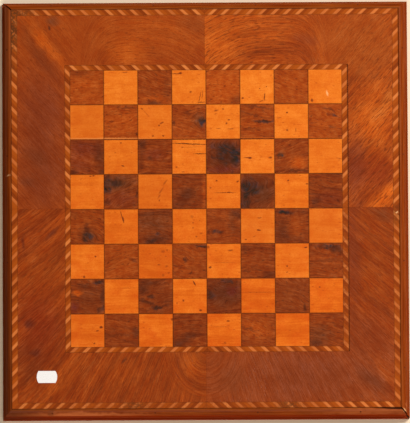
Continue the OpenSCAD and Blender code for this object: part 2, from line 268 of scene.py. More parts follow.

# The figure, knots, stains and dents of each row, and one painted highlight (the shine), from the top one:
# kind, column, place across and up the square as shares of it, width and height in mm, strength, and its
# turn in degrees if it has one
squareMarks = {
    8: [("glow", 1, 0.5, 0.45, 60, 52, 0.45), ("glow", 5, 0.5, 0.5, 62, 62, 0.6),
        ("glow", 7, 0.5, 0.5, 60, 60, 0.45), ("glow", 3, 0.5, 0.5, 60, 60, 0.15),
        ("smoke", 1, 0.3, 0.92, 22, 6, 0.4), ("glow", 3, 0.47, 0.12, 26, 9, 0.5),
        ("smoke", 3, 0.45, 0.02, 19, 7, 0.8), ("smoke", 5, 0.9, 0.12, 12, 9, 0.5),
        ("smoke", 3, 0.85, 0.5, 7, 30, 0.3), ("peck", 2, 0.62, 0.93, 6, 0.9, 0.7),
        ("peck", 4, 0.14, 0.885, 11, 1.2, 0.9, 2), ("peck", 4, 0.25, 0.9, 3.2, 2.2, 0.9),
        ("scratch", 4, 0.82, 0.2, 0.8, 15, 0.8, -12), ("scratch", 4, 0.9, 0.28, 0.7, 12, 0.7, -7),
        ("peck", 4, 0.86, 0.06, 9, 1.1, 0.9), ("peck", 4, 0.55, 0.36, 2.6, 1.7, 0.8),
        ("peck", 6, 0.08, 0.17, 2.4, 2.2, 0.9), ("scratch", 6, 0.72, 0.21, 1.3, 8, 0.9, -4),
        ("peck", 6, 0.63, 0.09, 5, 1, 0.8, 24), ("peck", 6, 0.58, 0.45, 1.6, 1.3, 0.8),
        ("peck", 6, 0.78, 0.5, 1.4, 1.2, 0.8), ("peck", 8, 0.11, 0.1, 2.8, 3.6, 0.9),
        ("shine", 8, 0.56, 0.3, 2.2, 6, 0.5, 14)],
    7: [("glow", 2, 0.5, 0.45, 60, 60, 0.5), ("glow", 4, 0.4, 0.4, 44, 56, 0.2),
        ("glow", 6, 0.5, 0.5, 60, 60, 0.3), ("glow", 8, 0.5, 0.5, 60, 60, 0.4),
        ("dim", 1, 0.5, 0.5, 62, 62, 0.35), ("dim", 3, 0.5, 0.5, 62, 62, 0.2),
        ("halo", 4, 0.8, 0.55, 13, 13, 0.7, 20), ("knot", 4, 0.87, 0.5, 7, 11, 1, 6),
        ("knot", 4, 0.88, 0.5, 5, 6, 1), ("smoke", 4, 0.04, 0.47, 3, 5, 0.8),
        ("smoke", 4, 0.45, 0.78, 9, 5, 0.4, -20), ("smoke", 2, 0.68, 0.9, 22, 2.6, 0.6, -7),
        ("smoke", 2, 0.98, 0.14, 2.4, 4.5, 0.9), ("smoke", 6, 0.5, 0.9, 32, 2.4, 0.6, -9),
        ("knot", 6, 0.7, 0.5, 20, 3, 0.85, 2), ("smoke", 6, 0.32, 0.7, 26, 2.4, 0.6, -13),
        ("smoke", 6, 0.3, 0.3, 24, 2, 0.5, -8), ("knot", 8, 0.72, 0.66, 12, 3.4, 0.75, -14),
        ("smoke", 8, 0.62, 0.82, 12, 2.6, 0.6, -10), ("smoke", 8, 0.68, 0.35, 7, 3, 0.6, -10),
        ("peck", 3, 0.12, 0.88, 2.6, 1.6, 0.7, -30), ("peck", 3, 0.7, 0.47, 4.6, 1.3, 0.8, 24),
        ("peck", 3, 0.62, 0.4, 2, 1.6, 0.8), ("peck", 3, 0.44, 0.1, 2.2, 1.8, 0.8),
        ("peck", 3, 0.74, 0.1, 2.4, 1.6, 0.8), ("scratch", 3, 0.24, 0.75, 0.8, 10, 0.4, 38),
        ("peck", 5, 0.3, 0.82, 5, 1.6, 0.7, 14), ("peck", 5, 0.5, 0.86, 2, 1.6, 0.8),
        ("peck", 5, 0.67, 0.55, 3.2, 1.4, 0.9), ("peck", 5, 0.6, 0.45, 2, 2, 0.8),
        ("peck", 5, 0.72, 0.29, 7, 0.9, 0.7), ("peck", 5, 0.36, 0.3, 5, 0.9, 0.6, -6),
        ("peck", 7, 0.38, 0.75, 2, 1.8, 0.9), ("peck", 7, 0.38, 0.25, 2.6, 2.2, 0.7),
        ("peck", 7, 0.14, 0.6, 5, 1, 0.6, 8), ("peck", 7, 0.63, 0.25, 1.2, 4.5, 0.5)],
    6: [("dim", 8, 0.5, 0.5, 62, 62, 0.15), ("smoke", 1, 0.86, 0.58, 12, 26, 0.8, 8),
        ("smoke", 1, 0.1, 0.06, 9, 5, 0.9), ("smoke", 1, 0.95, 0.06, 9, 5, 0.9),
        ("glow", 1, 0.3, 0.42, 20, 16, 0.1), ("plum", 1, 0.3, 0.4, 30, 24, 0.35),
        ("plum", 1, 0.4, 0.75, 30, 16, 0.5), ("smoke", 3, 0.12, 0.86, 9, 9, 0.9),
        ("plum", 3, 0.45, 0.55, 20, 12, 0.4), ("smoke", 3, 0.35, 0.45, 7, 5, 0.7),
        ("smoke", 3, 0.1, 0.5, 7, 34, 0.5), ("smoke", 5, 0.5, 0.5, 44, 40, 0.8),
        ("knot", 5, 0.62, 0.58, 20, 24, 0.8), ("knot", 5, 0.87, 0.52, 12, 24, 0.95),
        ("plum", 5, 0.5, 0.12, 36, 7, 0.6), ("knot", 5, 0.35, 0.78, 16, 8, 0.6, -10),
        ("knot", 5, 0.3, 0.45, 16, 3, 0.4, -8), ("halo", 7, 0.17, 0.53, 10, 7, 0.6),
        ("knot", 7, 0.16, 0.52, 7, 3.6, 0.9, -6), ("smoke", 7, 0.68, 0.08, 24, 4.4, 0.9, 2),
        ("glow", 7, 0.7, 0.3, 17, 12, 0.7), ("peck", 2, 0.5, 0.9, 2.2, 1.6, 0.8),
        ("peck", 2, 0.55, 0.24, 3.6, 1.4, 0.9, -12), ("peck", 2, 0.33, 0.62, 1.4, 1.2, 0.7),
        ("crack", 4, 0.5, 0.866, 46, 1, 1, -2.4), ("crack", 4, 0.84, 0.58, 15, 0.9, 0.9),
        ("scratch", 4, 0.55, 0.77, 18, 0.5, 0.6, 1), ("peck", 4, 0.3, 0.77, 2.4, 1, 0.8),
        ("peck", 4, 0.12, 0.2, 2.2, 1.8, 0.7), ("peck", 4, 0.32, 0.06, 3, 1.4, 0.7),
        ("peck", 6, 0.22, 0.46, 9, 1.2, 0.9), ("peck", 6, 0.28, 0.45, 3.4, 2.4, 0.9),
        ("peck", 6, 0.88, 0.46, 4, 2, 0.8), ("peck", 8, 0.9, 0.42, 6, 0.9, 0.6, -16)],
    5: [("smoke", 2, 0.5, 0.5, 60, 60, 0.2), ("smoke", 4, 0.5, 0.5, 60, 60, 0.2),
        ("dim", 3, 0.5, 0.5, 62, 62, 0.35), ("halo", 2, 0.42, 0.74, 34, 16, 0.7),
        ("knot", 2, 0.07, 0.7, 11, 20, 1), ("knot", 2, 0.36, 0.76, 15, 7, 0.7, -6),
        ("smoke", 2, 0.1, 0.2, 6, 6, 0.8), ("smoke", 2, 0.97, 0.43, 3, 9, 0.9),
        ("plum", 2, 0.5, 0.3, 30, 16, 0.4), ("smoke", 4, 0.42, 0.42, 18, 13, 0.8, 30),
        ("glow", 4, 0.93, 0.5, 3.5, 44, 0.35), ("smoke", 4, 0.2, 0.15, 16, 8, 0.5),
        ("smoke", 6, 0.5, 0.5, 46, 44, 0.8), ("knot", 6, 0.24, 0.62, 20, 18, 0.95, 10),
        ("knot", 6, 0.12, 0.16, 14, 18, 0.95), ("knot", 6, 0.5, 0.56, 14, 8, 0.7, 20),
        ("knot", 6, 0.16, 0.4, 3, 30, 0.5), ("halo", 6, 0.7, 0.4, 18, 18, 0.4),
        ("smoke", 8, 0.2, 0.2, 11, 8, 0.8), ("plum", 8, 0.6, 0.3, 26, 14, 0.3),
        ("peck", 1, 0.6, 0.95, 2.4, 1.3, 0.9), ("peck", 1, 0.69, 0.96, 3, 1.4, 0.9),
        ("scratch", 3, 0.79, 0.76, 1.8, 7, 0.5, -36), ("scratch", 3, 0.67, 0.52, 1.8, 9, 0.45, -34),
        ("scratch", 3, 0.61, 0.36, 1.4, 6, 0.4, -30), ("peck", 3, 0.62, 0.24, 1.6, 2, 0.7),
        ("peck", 5, 0.3, 0.8, 2.6, 1.6, 0.9), ("peck", 5, 0.92, 0.78, 3, 1.8, 0.9, 20),
        ("scratch", 5, 0.55, 0.46, 22, 0.8, 0.9), ("peck", 5, 0.66, 0.465, 4.2, 1.5, 0.9),
        ("peck", 5, 0.12, 0.6, 2.4, 1.8, 0.6), ("peck", 7, 0.4, 0.8, 2.4, 1.8, 0.9, 30),
        ("peck", 7, 0.95, 0.7, 3, 1.6, 0.8)],
    4: [("glow", 1, 0.5, 0.5, 60, 60, 0.2), ("smoke", 7, 0.5, 0.5, 60, 60, 0.25),
        ("dim", 6, 0.5, 0.5, 62, 62, 0.38), ("dim", 8, 0.5, 0.5, 62, 62, 0.42),
        ("halo", 1, 0.52, 0.26, 17, 17, 0.6), ("knot", 1, 0.52, 0.21, 11, 9, 0.9, 8),
        ("smoke", 1, 0.5, 0.42, 5, 11, 0.8, 4), ("halo", 3, 0.5, 0.62, 40, 24, 0.5),
        ("smoke", 3, 0.52, 0.13, 26, 9, 0.9, 3), ("knot", 3, 0.38, 0.06, 13, 4.4, 0.75, 8),
        ("knot", 3, 0.56, 0.28, 6, 3.4, 0.6), ("knot", 5, 0.3, 0.34, 12, 4.6, 0.8, -3),
        ("smoke", 5, 0.86, 0.84, 12, 10, 0.8), ("smoke", 5, 0.96, 0.78, 4, 4, 0.8),
        ("halo", 5, 0.75, 0.6, 8, 20, 0.4, 10), ("knot", 7, 0.3, 0.885, 17, 5, 1, -9),
        ("smoke", 7, 0.24, 0.34, 17, 24, 0.6), ("glow", 7, 0.6, 0.5, 16, 20, 0.3),
        ("scratch", 2, 0.5, 0.85, 1, 8, 0.8, 12), ("scratch", 2, 0.555, 0.7, 1.6, 7, 1, 12),
        ("peck", 4, 0.57, 0.77, 3.4, 3.6, 0.35, 30), ("peck", 4, 0.6, 0.6, 1.8, 1.6, 0.5),
        ("peck", 4, 0.6, 0.45, 1.8, 2.4, 0.45), ("peck", 4, 0.7, 0.2, 2.2, 2, 0.6),
        ("peck", 4, 0.84, 0.29, 3, 1.8, 0.5), ("peck", 4, 0.8, 0.66, 1.4, 1.2, 0.5),
        ("peck", 6, 0.55, 0.73, 5, 1.1, 0.7), ("peck", 6, 0.53, 0.38, 4.6, 1.5, 1),
        ("peck", 6, 0.15, 0.11, 2.2, 1.4, 0.9), ("peck", 6, 0.4, 0.2, 3, 1, 0.6, 30)],
    3: [("glow", 2, 0.5, 0.5, 50, 50, 0.35), ("glow", 4, 0.5, 0.5, 60, 60, 0.2),
        ("dim", 3, 0.5, 0.5, 62, 62, 0.25), ("dim", 7, 0.5, 0.5, 62, 62, 0.15),
        ("smoke", 2, 0.85, 0.55, 10, 3, 0.6, -30), ("knot", 4, 0.84, 0.92, 12, 3.4, 0.85),
        ("knot", 4, 0.36, 0.53, 5, 4.4, 0.7, -10), ("smoke", 4, 0.54, 0.18, 2.4, 2.6, 0.8),
        ("smoke", 6, 0.85, 0.1, 16, 7, 0.7), ("smoke", 6, 0.12, 0.85, 8, 8, 0.6),
        ("knot", 8, 0.6, 0.88, 26, 6, 0.9, -7), ("smoke", 8, 0.84, 0.8, 14, 9, 0.8, -20),
        ("smoke", 8, 0.5, 0.5, 36, 3, 0.4, 3), ("peck", 1, 0.74, 0.64, 2.2, 2, 0.9, 20),
        ("peck", 1, 0.41, 0.06, 2.6, 3, 0.9), ("peck", 3, 0.72, 0.78, 4, 3, 0.4),
        ("peck", 3, 0.84, 0.82, 2.2, 1.8, 0.5), ("peck", 3, 0.8, 0.64, 1.8, 1.6, 0.5),
        ("peck", 3, 0.82, 0.36, 3, 2.2, 0.45), ("peck", 3, 0.6, 0.4, 3.4, 1.3, 0.6),
        ("peck", 3, 0.72, 0.1, 3, 3, 0.45, 30), ("peck", 3, 0.88, 0.16, 3, 1.6, 0.5),
        ("peck", 3, 0.34, 0.72, 2.4, 1, 0.5), ("peck", 5, 0.1, 0.32, 3.4, 2.4, 0.9),
        ("peck", 5, 0.7, 0.8, 5, 2, 0.7, 10), ("peck", 5, 0.04, 0.9, 3.4, 3, 0.6),
        ("scratch", 5, 0.5, 0.45, 30, 0.5, 0.5), ("peck", 7, 0.9, 0.88, 3.4, 1.4, 1),
        ("peck", 7, 0.35, 0.34, 2, 2.2, 0.9), ("peck", 7, 0.35, 0.17, 1.6, 1.4, 0.8)],
    2: [("smoke", 3, 0.5, 0.5, 60, 60, 0.3), ("smoke", 7, 0.5, 0.5, 60, 60, 0.3),
        ("smoke", 1, 0.55, 0.5, 40, 36, 0.5), ("knot", 1, 0.82, 0.9, 12, 6, 0.85, -8),
        ("smoke", 1, 0.95, 0.5, 6, 24, 0.9), ("knot", 1, 0.88, 0.12, 9, 7, 0.8, 10),
        ("plum", 1, 0.12, 0.18, 10, 11, 0.8), ("glow", 1, 0.2, 0.6, 9, 7, 0.8),
        ("smoke", 1, 0.4, 0.82, 14, 5, 0.6), ("smoke", 3, 0.13, 0.7, 10, 9, 0.9),
        ("knot", 3, 0.36, 0.5, 7, 4.4, 0.7, 10), ("knot", 3, 0.52, 0.17, 12, 3.6, 0.85, 5),
        ("smoke", 3, 0.26, 0.32, 20, 3.6, 0.9, -20), ("smoke", 3, 0.75, 0.22, 14, 2.2, 0.6, 16),
        ("smoke", 3, 0.3, 0.88, 24, 7, 0.7), ("smoke", 5, 0.5, 0.55, 46, 34, 0.85),
        ("knot", 5, 0.1, 0.52, 9, 9, 0.6), ("plum", 5, 0.74, 0.66, 11, 9, 0.8),
        ("knot", 5, 0.62, 0.92, 15, 4, 0.6), ("smoke", 7, 0.88, 0.15, 3.4, 9, 0.9),
        ("scratch", 2, 0.7, 0.74, 20, 0.6, 0.5, 1), ("scratch", 4, 0.63, 0.87, 1.6, 6, 1, 26),
        ("peck", 4, 0.31, 0.37, 2.4, 2.4, 0.8), ("peck", 4, 0.81, 0.09, 3.4, 1.8, 0.9),
        ("peck", 4, 0.12, 0.3, 1.4, 2.4, 0.5), ("scratch", 6, 0.5, 0.6, 34, 0.6, 0.7),
        ("peck", 8, 0.3, 0.74, 1.8, 1.4, 0.8)],
    1: [("dim", 1, 0.5, 0.5, 62, 62, 0.2), ("smoke", 2, 0.92, 0.48, 7, 11, 0.7),
        ("smoke", 2, 0.5, 0.4, 34, 3, 0.4, 8), ("smoke", 4, 0.44, 0.3, 24, 9, 0.7, 28),
        ("smoke", 4, 0.14, 0.1, 12, 7, 0.8), ("glow", 6, 0.5, 0.6, 32, 26, 0.4),
        ("smoke", 6, 0.2, 0.55, 16, 2.4, 0.6, -16), ("smoke", 8, 0.18, 0.14, 12, 10, 0.8),
        ("halo", 8, 0.3, 0.4, 24, 20, 0.5), ("peck", 1, 0.9, 0.62, 3.6, 2.6, 1),
        ("peck", 1, 0.79, 0.52, 3.4, 1.4, 0.9, 10), ("peck", 1, 0.7, 0.16, 2.4, 1.5, 0.9, 20),
        ("peck", 3, 0.97, 0.83, 2.4, 3, 0.7), ("peck", 5, 0.62, 0.78, 4, 1.5, 1),
        ("peck", 5, 0.52, 0.15, 3, 2.6, 0.5), ("scratch", 5, 0.4, 0.62, 20, 0.5, 0.5, 1)],
}
darkKinds = ["smoke", "plum", "glow", "halo", "knot"]  # the other kinds are for light squares

# What the whole field shares
fieldValues = {
    "drawSeed": 3.7,  # picks each square's own tone and grain
    "wander": (0.022, 0.05),  # how fast the grain wanders along and across, per mm
    "dirtFrom": 1, "dirtFull": 0.2, "dirtDepth": 0.5,  # mm from a square's edge, and how dark
    "ragged": (0.4, 1.8), "soft": 0.4,
    # gaps in the glue: a lifted edge that catches the light, and the dark joint below it
    "cracks": [("glint", (-112, 79.1), (92, 1.5), 0, 0.75), ("peck", (1, 77.6), (306, 0.9), 0, 0.8),
               ("flame", (40, 79), (230, 0.9), 0, 0.35)],
}
print("field of", round(squareWidth, 1), "by", round(squareDepth, 1), "mm squares")


def placedMarks(row, dark):  # the marks of a row's dark or light squares, as addMarks takes them
    for kind, column, across, up, width, height, strength, *turn in squareMarks[row]:
        if (kind in darkKinds) == dark:
            centreX = fieldLeft + (column - 1 + across) * squareWidth
            centreY = fieldBottom + (row - 1 + up) * squareDepth
            yield kind, (centreX, centreY), (width, height), turn[0] if turn else 0, strength


def squareGrain(tree, x, y, row, look):  # each square's own tone and seed, and the way across its grain
    column = maths(tree, "FLOOR", times(tree, minus(tree, x, fieldLeft), 1 / squareWidth))
    place = vector(tree, column, row + look["draw"], fieldValues["drawSeed"])
    draw = addNode(tree, "ShaderNodeTexWhiteNoise", {"Vector": place}, noise_dimensions="3D")
    chances = split(tree, draw.outputs["Color"])
    chanceShare, rowShare = look["seeds"]
    seed = timesPlus(tree, chances[0], chanceShare, row * rowShare)
    level, steepness = look["slope"]
    slope = times(tree, minus(tree, chances[1], level), steepness)
    wanderX, wanderY = fieldValues["wander"]
    wander = noise(tree, vector(tree, times(tree, x, wanderX), times(tree, y, wanderY), seed), 1, 1.5)
    across = timesPlus(tree, wander, look["flow"] * 2, timesPlus(tree, x, slope, y))
    return chances[2], seed, across


def squareTone(tree, x, across, seed, chance, look):  # the tone of the wood, and its fine lines alone
    bands = fibre(tree, x, across, seed, *look["bands"])
    lines = fibre(tree, x, across, seed, *look["lines"], 3, look["lineRoughness"])
    tone = swing(tree, lines, look["lineContrast"], 0.5)
    tone = swing(tree, bands, look["bandContrast"], tone)
    return swing(tree, chance, look["squareContrast"], tone), lines


def addFieldWear(tree, place, x, y, colour):  # the cracks, and the dirt along each square's edges
    values = fieldValues
    colour = addMarks(tree, colour, place, values["cracks"], values)
    dirt = []
    for source, start, size in ((x, fieldLeft, squareWidth), (y, fieldBottom, squareDepth)):
        cell = maths(tree, "FRACT", times(tree, minus(tree, source, start), 1 / size))
        away = times(tree, maths(tree, "ABSOLUTE", minus(tree, cell, 0.5)), size)
        dirt.append(ease(tree, away, size / 2 - values["dirtFrom"], size / 2 - values["dirtFull"]))
    most = times(tree, maths(tree, "MAXIMUM", *dirt), values["dirtDepth"])
    return shade(tree, colour, minus(tree, 1, most))


# Dark squares: figured walnut, its grain from left to right
darkSquareLook = {
    "deep": (101, 39, 9), "middle": (135, 57, 14), "warm": (162, 75, 23), "pore": (62, 24, 10),
    "flow": 9,  # how far the grain wanders, mm
    "slope": (0.4, 0.5),  # the draw that leaves it level, and how steep the others make it
    "draw": 0, "seeds": (91, 7.3), "lineRoughness": 0.65,
    # length and spacing, mm
    "bands": (60, 7), "lines": (24, 2), "hairs": (7, 0.9), "pores": (4, 1),
    "bandContrast": 0.4, "lineContrast": 0.6, "squareContrast": 0.1, "poreShare": 0.45,
    "mottle": (0.88, 1.1), "hairShade": (0.86, 1.12),  # darkest and lightest
    "mottleNoise": (0.16, 4, 0.65),  # scale per mm, detail and roughness
    "ragged": (2.2, 6), "soft": 0.85, "knotSoft": 0.6,
    "broken": (8, 2.4),  # streaks that break the knots up, mm
    "knotBend": 0.75, "knotReach": 2.4,  # how the grain parts round a knot, and how far out
    "relief": 0.06,
}


def darkSquares(row, look):
    material, tree = newMaterial(f"darkVeneerRow{row}", veneerPolish)
    place, x, y = boardPlace(tree)[:3]
    chance, seed, across = squareGrain(tree, x, y, row, look)
    for kind, centre, size, turn, _ in placedMarks(row, dark=True):
        if kind == "knot":  # the grain parts round it
            reach = [side * look["knotReach"] for side in size]
            near = blot(tree, place, centre, reach, turn, 0.95)
            push = times(tree, minus(tree, y, centre[1]), near)
            across = timesPlus(tree, push, -look["knotBend"], across)
    tone, lines = squareTone(tree, x, across, seed, chance, look)
    colour = ramp(tree, tone, [(0.3, look["deep"]), (0.5, look["middle"]), (0.7, look["warm"])])
    broken = fibre(tree, x, across, seed, *look["broken"], 3, 0.6)
    broken = {"knot": ease(tree, broken, 0.4, 0.56, 0.55)}
    colour = addMarks(tree, colour, place, placedMarks(row, dark=True), look, broken)
    mottle = noise(tree, vector(tree, x, y, seed), *look["mottleNoise"])
    colour = vary(tree, colour, mottle, look["mottle"])
    hairs = fibre(tree, x, across, seed, *look["hairs"], 2, 0.6)
    colour = vary(tree, colour, hairs, look["hairShade"], 0.25)
    pores = ease(tree, fibre(tree, x, across, seed, *look["pores"], 0), 0.64, 0.76)
    colour = lay(tree, colour, look["pore"], pores, look["poreShare"])
    colour = addFieldWear(tree, place, x, y, colour)
    return addSurface(material, colour, timesPlus(tree, pores, -0.6, lines), look["relief"])


# Light squares: a plain fruitwood, its grain from left to right
lightSquareLook = {
    "pale": (233, 129, 40), "middle": (219, 109, 23), "deep": (202, 91, 12), "red": (209, 88, 14),
    "paleTop": (230, 129, 36), "hair": (188, 76, 8), "fleck": (164, 66, 10),
    "flow": 2, "slope": (0.5, 0.1), "draw": 20, "seeds": (77, 5.1), "lineRoughness": 0.6,
    "bands": (70, 9), "lines": (26, 1.5), "hairs": (9, 1.1),  # length and spacing, mm
    "bandContrast": 0.9, "lineContrast": 0.55, "squareContrast": 0.35,
    "redShare": 0.6, "paleTopShare": 0.5, "hairShare": 0.5, "fleckShare": 0.45,
    "paleTopFrom": (-150, 160),  # the squares are paler towards the top of the board
    "clouds": (0.95, 1.045), "speckle": (0.93, 1.06),  # darkest and lightest
    "redNoise": (0.06, 3, 0.6), "cloudNoise": (0.09, 2, 0.6), "speckleNoise": (0.55, 3, 0.75),
    "fleckCells": (0.16, 0.3),  # cells per mm
    "ragged": (0.4, 1.8), "soft": 0.5, "dimSoft": 0.8,
    "relief": 0.05,
}


def lightSquares(row, look):
    material, tree = newMaterial(f"lightVeneerRow{row}", veneerPolish)
    place, x, y = boardPlace(tree)[:3]
    chance, seed, across = squareGrain(tree, x, y, row, look)
    tone, lines = squareTone(tree, x, across, seed, chance, look)
    colour = ramp(tree, tone, [(0.25, look["deep"]), (0.5, look["middle"]), (0.8, look["pale"])])
    flush = noise(tree, vector(tree, x, y, seed), *look["redNoise"])
    colour = lay(tree, colour, look["red"], ease(tree, flush, 0.4, 0.75), look["redShare"])
    colour = lay(tree, colour, look["paleTop"], ease(tree, y, *look["paleTopFrom"]), look["paleTopShare"])
    clouds = noise(tree, vector(tree, x, y, plus(tree, seed, 9)), *look["cloudNoise"])
    colour = vary(tree, colour, clouds, look["clouds"])
    colour = vary(tree, colour, noise(tree, place, *look["speckleNoise"]), look["speckle"], 0.25)
    hairs = fibre(tree, x, across, plus(tree, seed, 5), *look["hairs"], 1)
    colour = lay(tree, colour, look["hair"], ease(tree, hairs, 0.6, 0.78), look["hairShare"])
    # dark flecks and small dents from long use: in some of the cells, round their middle
    cellsX, cellsY = look["fleckCells"]
    cell = vector(tree, times(tree, x, cellsX), times(tree, y, cellsY), row)
    cells = addNode(tree, "ShaderNodeTexVoronoi", {"Vector": cell, "Scale": 1}).outputs
    chosen = split(tree, cells["Color"])[0]
    flecks = times(tree, ease(tree, cells["Distance"], 0.3, 0.12), ease(tree, chosen, 0.5, 0.9))
    colour = lay(tree, colour, look["fleck"], flecks, look["fleckShare"])
    colour = addMarks(tree, colour, place, placedMarks(row, dark=False), look)
    colour = addFieldWear(tree, place, x, y, colour)
    return addSurface(material, colour, timesPlus(tree, flecks, -1, lines), look["relief"])


for row in rows:
    dress(f"dark_squares_row_{row}", darkSquares(row, darkSquareLook))
    dress(f"light_squares_row_{row}", lightSquares(row, lightSquareLook))
print("squares veneered")

# Rope bandings: slanted slips, light and dark, leaning away from the middle of each side
bandingLook = {
    "pitch": 13.9, "sidePitch": 14.5, "start": 3, "slipAngle": 44, "lightShare": 0.34,
    "light": [(174, 90, 36), (196, 106, 48), (216, 128, 64)],
    "dark": [(120, 47, 3), (143, 61, 6), (163, 76, 12)],
    "grain": (9, 0.9),  # length and spacing, mm
    "grainContrast": 0.7, "slipContrast": 0.45,
    "secondStrip": (0.64, 0.7, 0.3),  # a dark slip is two strips: where the second starts, how much browner
    "edge": {"light": 1.3, "dark": 1}, "edgeShade": 0.5,  # mm of dirt along the seams, and how dark
    "ragged": (3, 7), "soft": 0.7, "relief": 0.04,
    # where the bandings are dirty or worn, and a painted highlight (the shine)
    "wearAndHighlight": [("grime", (-216, 200), (16, 44), 0, 0.95), ("grime", (-208, 221), (34, 10), 0, 0.8),
             ("peck", (-110, -221), (220, 24), 0, 0.4), ("peck", (60, -221), (150, 24), 0, 0.25),
             ("peck", (212, -120), (20, 160), 0, 0.3), ("grime", (-80, -221), (24, 8), 0, 0.6),
             ("peck", (154, -76), (12, 190), 0, 0.6), ("grime", (-216, 160), (10, 20), 0, 0.4),
             ("grime", (92, -221), (26, 8), 0, 0.7), ("grime", (212, -9), (12, 22), 0, 0.5),
             ("shine", (213.6, -4.4), (2.6, 2.2), 0, 1)],
}


def bandingMaterial(name, side, shadeName, look, seed):
    material, tree = newMaterial(name, veneerPolish)
    place, x, y = boardPlace(tree)[:3]
    low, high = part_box(name)
    run = 0 if side in ("top", "bottom") else 1  # the axis that the banding lies along
    middle = (low + high)[run] / 2 / mm
    inner, outer = sorted((abs(low[1 - run]) / mm, abs(high[1 - run]) / mm))
    along = maths(tree, "ABSOLUTE", minus(tree, (x, y)[run], middle))
    width = minus(tree, maths(tree, "ABSOLUTE", (y, x)[run]), inner)
    lean = timesPlus(tree, width, -1 / tan(radians(look["slipAngle"])), along)
    slip = times(tree, minus(tree, lean, look["start"]), 1 / look[("pitch", "sidePitch")[run]])
    number = vector(tree, maths(tree, "FLOOR", slip), seed)
    draw = addNode(tree, "ShaderNodeTexWhiteNoise", {"Vector": number}, noise_dimensions="2D")
    share = maths(tree, "FRACT", slip)
    grain = fibre(tree, width, lean, seed, *look["grain"])
    tone = swing(tree, grain, look["grainContrast"], 0.5)
    tone = swing(tree, draw.outputs["Value"], look["slipContrast"], tone)
    if shadeName == "dark":
        start, full, browner = look["secondStrip"]
        tone = timesPlus(tree, ease(tree, share, start, full), browner, tone)
    colour = ramp(tree, tone, list(zip((0.15, 0.5, 0.85), look[shadeName])))
    if shadeName == "light":  # the light slips blur into the dark ones where the polish has worn
        rim = maths(tree, "MINIMUM", share, minus(tree, look["lightShare"], share))
        colour = shade(tree, colour, ease(tree, rim, 0, 0.08, 0.74))
    edge = maths(tree, "MINIMUM", width, minus(tree, outer - inner, width))
    colour = shade(tree, colour, ease(tree, edge, 0, look["edge"][shadeName], look["edgeShade"]))
    patchy = ease(tree, noise(tree, place, 0.4), 0.38, 0.56, 0.3)
    colour = addMarks(tree, colour, place, look["wearAndHighlight"], look, dict.fromkeys(markColours, patchy))
    return addSurface(material, colour, grain, look["relief"])


for sideSeed, side in enumerate(sides):
    for ring, ringSeed in (("inner", 0), ("outer", 10)):
        for shadeName, shadeSeed in (("light", 0), ("dark", 5)):
            name = f"{ring}_banding_{shadeName}_{side}"
            seed = sideSeed + ringSeed + shadeSeed
            dress(name, bandingMaterial(name, side, shadeName, bandingLook, seed))
print("bandings laid")

# Border leaves: walnut veneer whose figure mirrors over both seams
borderLook = {
    "deep": (111, 43, 8), "middle": (148, 62, 12), "warm": (179, 82, 20), "pale": (205, 107, 34),
    "pore": (96, 34, 4), "stroke": (100, 38, 9),
    "bands": (90, 9), "lines": (44, 2), "hairs": (20, 0.85),  # length and spacing, mm
    "pores": (5, 0.9), "strokes": (9, 1.5),
    "bandContrast": 0.8, "lineContrast": 0.66, "poreShare": 0.35,
    "mottle": (0.93, 1.07), "speckle": (0.94, 1.06),  # darkest and lightest
    "mottleNoise": (0.05, 4, 0.6), "speckleNoise": (0.7, 2, 0.6),  # scale per mm, detail, roughness
    "wander": 5,  # how far the grain lines wander, mm
    "calmPlace": ((150, 196), (110, 90)), "calmSoft": 0.9,  # centre and size, mm
    "ragged": (3, 16), "soft": 0.9, "relief": 0.07,
}
